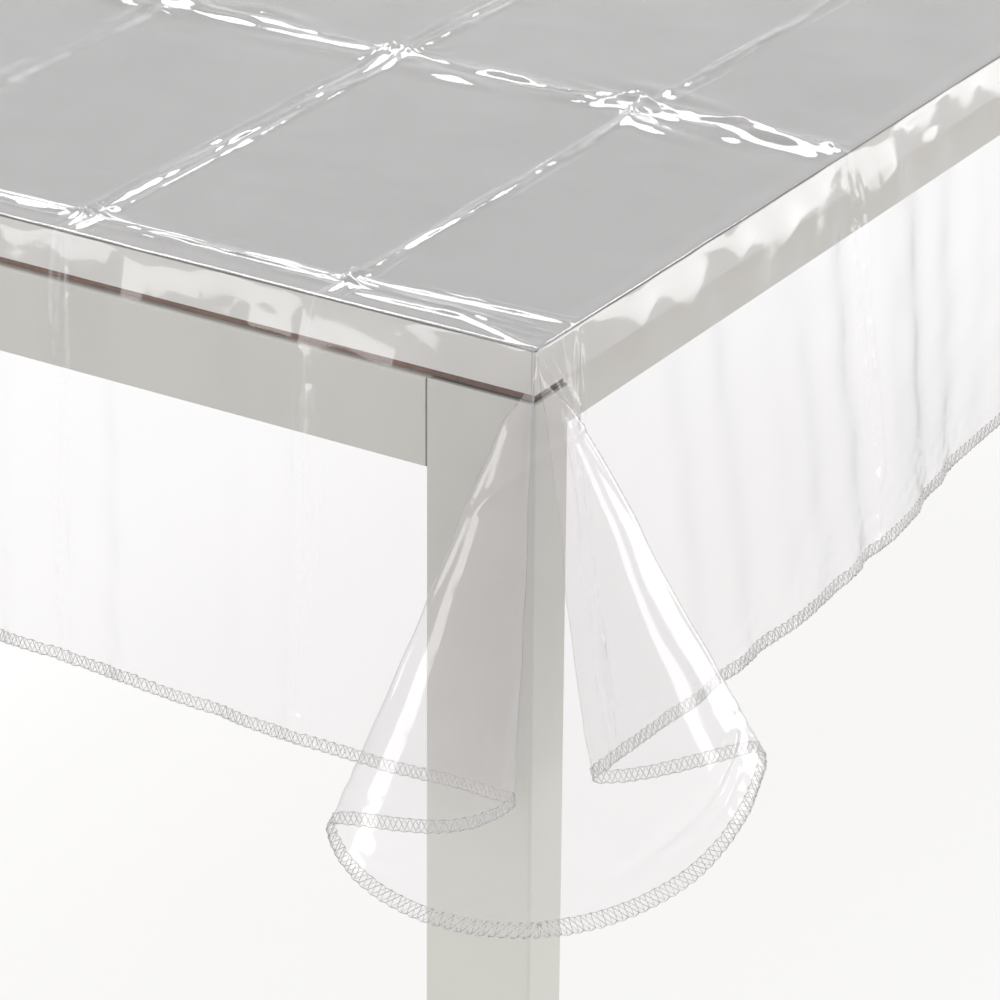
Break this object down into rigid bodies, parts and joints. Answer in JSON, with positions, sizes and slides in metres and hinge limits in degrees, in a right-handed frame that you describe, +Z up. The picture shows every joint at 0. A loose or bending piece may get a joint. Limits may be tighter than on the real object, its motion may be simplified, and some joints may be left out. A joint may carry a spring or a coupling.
{
  "type": "table with clear tablecloth",
  "caption": "Rectangular dining table with a steel tube frame under a clear vinyl tablecloth, overlocked round its edge, that hangs in a cone-shaped fold at each corner.",
  "frame": {"origin": "on the floor, under the middle of the table", "axes": "+X along the table's length, +Y along its width, +Z up"},
  "size_m": [1.9434, 1.1512, 0.7458],
  "materials": {
    "board": "raw particle board",
    "laminate": "satin grey laminate",
    "edge_band": "satin light greige",
    "reveal_strip": "dark brown, matt",
    "frame_paint": "satin greige powder coat",
    "foot_plastic": "matt",
    "zinc_steel": "zinc plated",
    "clear_vinyl": "clear, glossy film",
    "overlock_thread": "polyester thread, matt"
  },
  "bodies": {
    "table": {"tabletop_core": "board", "top_laminate": "laminate", "edge_band_front": "edge_band", "edge_band_back": "edge_band", "edge_band_left": "edge_band", "edge_band_right": "edge_band", "reveal_strip_front": "reveal_strip", "reveal_strip_back": "reveal_strip", "reveal_strip_left": "reveal_strip", "reveal_strip_right": "reveal_strip", "reveal_strip_middle": "reveal_strip", "leg_left_front": "frame_paint", "leg_left_back": "frame_paint", "leg_right_front": "frame_paint", "leg_right_back": "frame_paint", "foot_cap_left_front": "foot_plastic", "foot_cap_left_back": "foot_plastic", "foot_cap_right_front": "foot_plastic", "foot_cap_right_back": "foot_plastic", "end_apron_left": "frame_paint", "end_apron_right": "frame_paint", "side_apron_front": "frame_paint", "side_apron_back": "frame_paint", "cross_rail": "frame_paint", "fixing_tab_1": "zinc_steel", "fixing_tab_2": "zinc_steel", "fixing_tab_3": "zinc_steel", "fixing_tab_4": "zinc_steel", "fixing_tab_5": "zinc_steel", "fixing_tab_6": "zinc_steel", "tab_screw_1": "zinc_steel", "tab_screw_2": "zinc_steel", "tab_screw_3": "zinc_steel", "tab_screw_4": "zinc_steel", "tab_screw_5": "zinc_steel", "tab_screw_6": "zinc_steel"},
    "tablecloth": {"tablecloth_sheet": "clear_vinyl", "overlock_hem": "overlock_thread"}
  },
  "joints": [
    {"name": "cloth_lift", "type": "slide", "parent": "table", "child": "tablecloth", "axis": [0, 0, 1], "range_m": [0, 0.35]}
  ]
}
